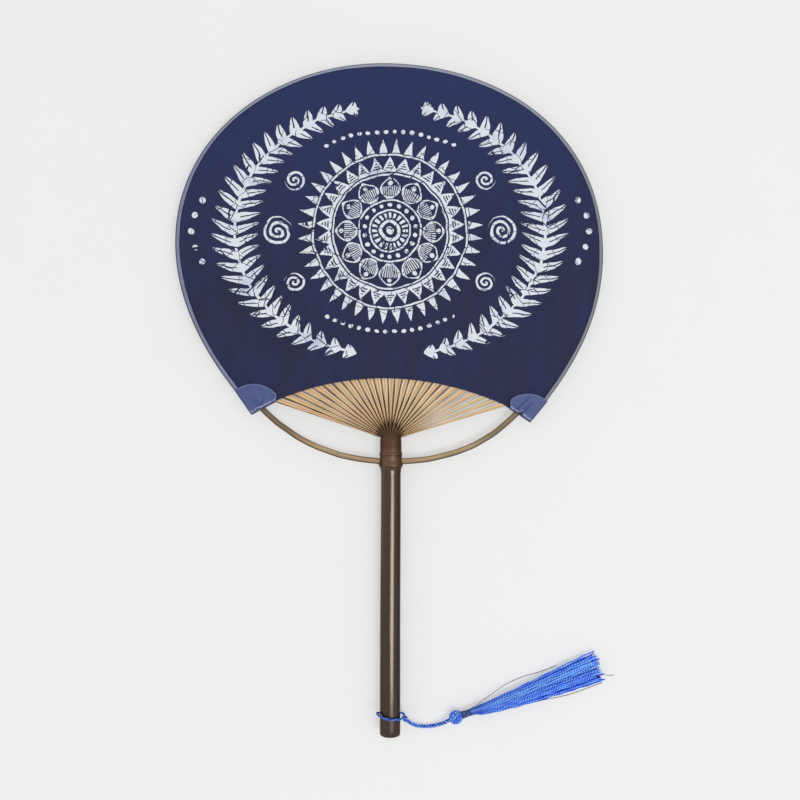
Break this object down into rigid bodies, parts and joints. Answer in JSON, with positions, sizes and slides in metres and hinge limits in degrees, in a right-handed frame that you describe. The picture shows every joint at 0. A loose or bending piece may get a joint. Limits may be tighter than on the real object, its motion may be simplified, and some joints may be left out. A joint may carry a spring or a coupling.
{
  "type": "round hand fan",
  "caption": "Flat round hand fan: split bamboo ribs between two indigo cloth faces, bound rim, bent bow, round culm handle and a hanging tassel.",
  "frame": {"origin": "under the middle of the fan, without its cord and tassel, on the surface that it lies on", "axes": "+X to the right seen from the printed front, +Y along the handle towards the leaf, +Z out of the front face"},
  "size_m": [0.2565, 0.404, 0.0151],
  "materials": {
    "bamboo_culm": "dark stained bamboo, satin lacquer",
    "plug_wood": "bare end grain",
    "bamboo_bow": "bamboo skin, satin",
    "bamboo_rib": "split bamboo, matte",
    "thread": "undyed cotton thread",
    "front_cloth": "indigo cotton, wax-resist dyed",
    "back_cloth": "plain indigo cotton",
    "rim_tape": "woven tape, satin",
    "patch_cloth": "sized cloth, soft sheen",
    "cord": "twisted rayon cord",
    "neck_thread": "wound thread",
    "tassel_yarn": "rayon yarn, silky"
  },
  "bodies": {
    "fan": {"handle_culm": "bamboo_culm", "handle_end_plug": "plug_wood", "bow": "bamboo_bow", "rib_01": "bamboo_rib", "rib_02": "bamboo_rib", "rib_03": "bamboo_rib", "rib_04": "bamboo_rib", "rib_05": "bamboo_rib", "rib_06": "bamboo_rib", "rib_07": "bamboo_rib", "rib_08": "bamboo_rib", "rib_09": "bamboo_rib", "rib_10": "bamboo_rib", "rib_11": "bamboo_rib", "rib_12": "bamboo_rib", "rib_13": "bamboo_rib", "rib_14": "bamboo_rib", "rib_15": "bamboo_rib", "rib_16": "bamboo_rib", "rib_17": "bamboo_rib", "rib_18": "bamboo_rib", "rib_19": "bamboo_rib", "rib_20": "bamboo_rib", "rib_21": "bamboo_rib", "rib_22": "bamboo_rib", "rib_23": "bamboo_rib", "rib_24": "bamboo_rib", "rib_25": "bamboo_rib", "rib_26": "bamboo_rib", "rib_27": "bamboo_rib", "spacing_thread": "thread", "front_cloth": "front_cloth", "back_cloth": "back_cloth", "rim_binding": "rim_tape", "left_corner_patch": "patch_cloth", "right_corner_patch": "patch_cloth", "hanging_loop": "cord"},
    "knot": {"loop_knot": "cord"},
    "cord": {"tassel_cord": "cord"},
    "tassel": {"tassel_knob": "cord", "tassel_neck_binding": "neck_thread", "tassel_skirt": "tassel_yarn"}
  },
  "joints": [
    {"name": "knot_lift", "type": "hinge", "parent": "fan", "child": "knot", "pos_m": [0.0088, -0.1921, 0.0077], "axis": [0, -1, 0], "range_deg": [0, 85]},
    {"name": "cord_swing", "type": "hinge", "parent": "knot", "child": "cord", "pos_m": [0.0088, -0.1921, 0.0077], "axis": [0, 0, 1], "range_deg": [-60, 50]},
    {"name": "tassel_swing", "type": "hinge", "parent": "cord", "child": "tassel", "pos_m": [0.0399, -0.1927, 0.0042], "axis": [0, 0, 1], "range_deg": [-60, 25]}
  ]
}
